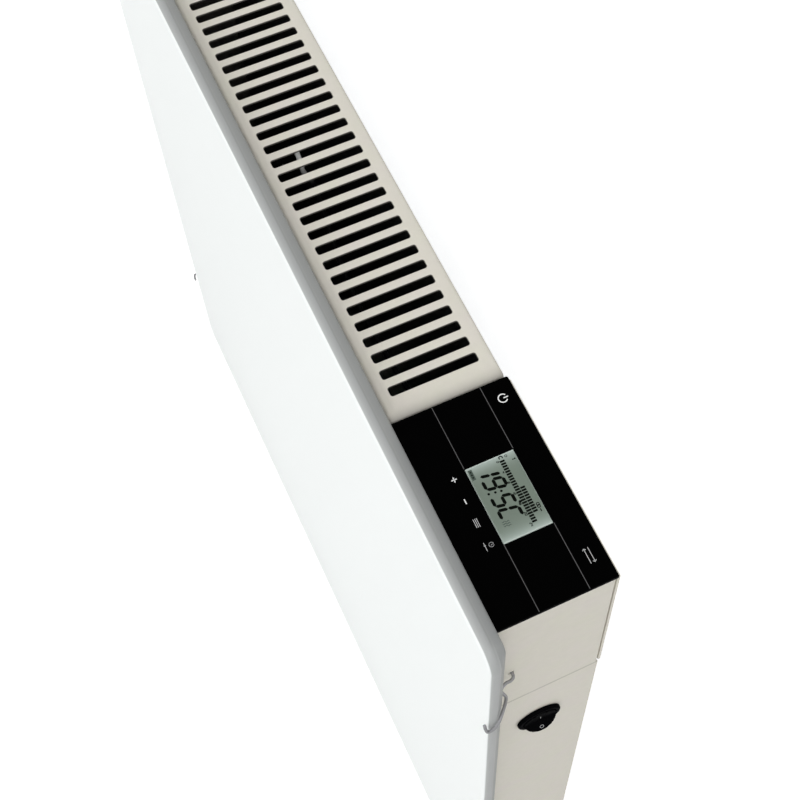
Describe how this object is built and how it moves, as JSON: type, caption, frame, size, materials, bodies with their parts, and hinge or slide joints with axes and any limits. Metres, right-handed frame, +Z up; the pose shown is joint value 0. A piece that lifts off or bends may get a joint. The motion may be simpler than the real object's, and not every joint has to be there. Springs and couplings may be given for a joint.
{
  "type": "wall panel convector heater",
  "caption": "Square wall-hung panel convector heater with a slotted top outlet, a glass touch control module with a display, and a round rocker switch on its side.",
  "frame": {"origin": "middle of the upper wall rail's back face, where it lies against the wall", "axes": "+X to the right seen from the room, +Y into the wall, +Z up"},
  "size_m": [0.504, 0.0822, 0.5],
  "materials": {
    "white_enamel": "smooth satin white enamel",
    "cream_enamel": "fine-grained satin enamel, warm light grey",
    "cream_plastic": "fine-grained moulding, warm light grey",
    "black_glass": "gloss black touch glass with fine grey lines",
    "display_glass": "grey-green liquid crystal",
    "circuit_board": "green solder mask",
    "black_plastic": "semi-gloss black moulding",
    "grey_plastic": "dark grey moulding",
    "blue_plastic": "blue relay case",
    "brass": "tinned and bare brass",
    "lead_sleeve": "white silicone sleeve",
    "spring_wire": "bright drawn spring wire",
    "zinc_steel": "zinc-coated sheet",
    "aluminium": "mill-finish extrusion",
    "ceramic": "unglazed ceramic"
  },
  "bodies": {
    "wall_rails": {"wall_rail_upper": "zinc_steel", "wall_rail_lower": "zinc_steel"},
    "heater": {"front_panel": "white_enamel", "panel_stiffener_upper": "zinc_steel", "panel_stiffener_lower": "zinc_steel", "top_grille": "cream_enamel", "left_side_panel": "cream_enamel", "right_side_panel": "cream_enamel", "back_panel": "zinc_steel", "heat_shield": "zinc_steel", "bottom_grille": "cream_enamel", "control_housing": "cream_plastic", "control_glass": "black_glass", "display": "display_glass", "touch_board": "circuit_board", "module_floor": "grey_plastic", "module_back_cover": "cream_enamel", "power_board": "circuit_board", "relay": "blue_plastic", "transformer": "zinc_steel", "terminal_block": "grey_plastic", "radio_board": "circuit_board", "switch_body": "black_plastic", "switch_blade_1": "brass", "switch_blade_2": "brass", "switch_lead_1": "lead_sleeve", "switch_lead_2": "lead_sleeve", "panel_clip_upper_left": "spring_wire", "panel_clip_upper_right": "spring_wire", "panel_clip_lower_left": "spring_wire", "panel_clip_lower_right": "spring_wire", "heating_element": "aluminium", "element_bush_left": "ceramic", "element_bush_right": "ceramic", "element_bracket_left": "zinc_steel", "element_bracket_right": "zinc_steel", "thermal_cutout": "brass", "room_sensor": "grey_plastic", "element_lead": "lead_sleeve", "return_lead": "lead_sleeve", "sensor_lead": "grey_plastic", "cable_gland": "black_plastic", "gland_nut": "black_plastic", "hanger_upper_left": "zinc_steel", "hanger_upper_right": "zinc_steel", "hanger_lower_left": "zinc_steel", "hanger_lower_right": "zinc_steel", "case_screw_1": "zinc_steel", "case_screw_2": "zinc_steel", "case_screw_3": "zinc_steel", "case_screw_4": "zinc_steel"},
    "rocker": {"switch_rocker": "black_plastic"}
  },
  "joints": [
    {"name": "lift_off", "type": "slide", "parent": "wall_rails", "child": "heater", "axis": [0, 0, 1], "range_m": [0, 0.016]},
    {"name": "rocker_tilt", "type": "hinge", "parent": "heater", "child": "rocker", "pos_m": [0.2342, -0.0435, -0.0585], "axis": [0, 1, 0], "range_deg": [0, 24]}
  ]
}
